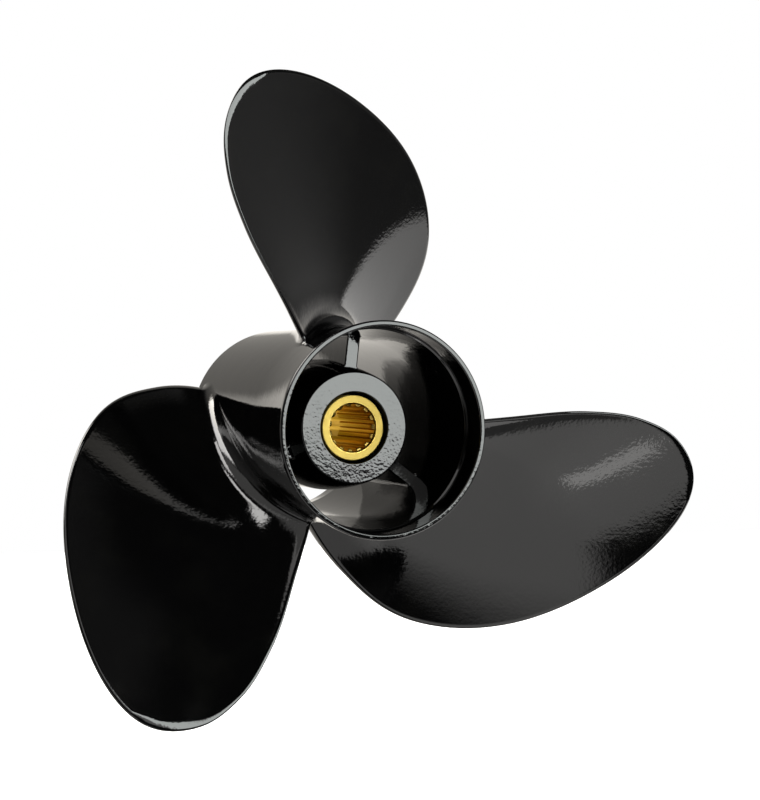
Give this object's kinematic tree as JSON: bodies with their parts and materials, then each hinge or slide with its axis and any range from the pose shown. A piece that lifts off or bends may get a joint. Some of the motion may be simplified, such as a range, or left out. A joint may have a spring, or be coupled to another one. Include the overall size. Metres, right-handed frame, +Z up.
{
  "type": "boat propeller",
  "caption": "Outboard boat propeller with broad raked blades, a flared through-hub exhaust barrel and a rubber-cushioned splined brass sleeve.",
  "frame": {"origin": "the propeller's reference point: the point of the shaft axis that the blades are laid out from", "axes": "+Y along the shaft axis towards the bow, so the exhaust leaves towards -Y; +Z up, with one blade standing up; +X to the right seen from astern"},
  "size_m": [0.2509, 0.1208, 0.2467],
  "materials": {
    "black_gloss_paint": "gloss black enamel over cast aluminium, with a light orange-peel texture",
    "machined_brass": "turned and broached brass with fine tool marks",
    "hub_rubber": "matte black moulded rubber"
  },
  "bodies": {
    "sleeve": {"splined_sleeve": "machined_brass", "rubber_bush": "hub_rubber"},
    "casting": {"hub_barrel": "black_gloss_paint", "inner_hub": "black_gloss_paint", "rib_1": "black_gloss_paint", "rib_2": "black_gloss_paint", "rib_3": "black_gloss_paint", "blade_1": "black_gloss_paint", "blade_2": "black_gloss_paint", "blade_3": "black_gloss_paint"}
  },
  "joints": [
    {"name": "cushion_twist", "type": "hinge", "parent": "sleeve", "child": "casting", "pos_m": [0, 0, 0], "axis": [0, 1, 0], "range_deg": [-12, 12], "stiffness_Nm_per_rad": 700}
  ]
}
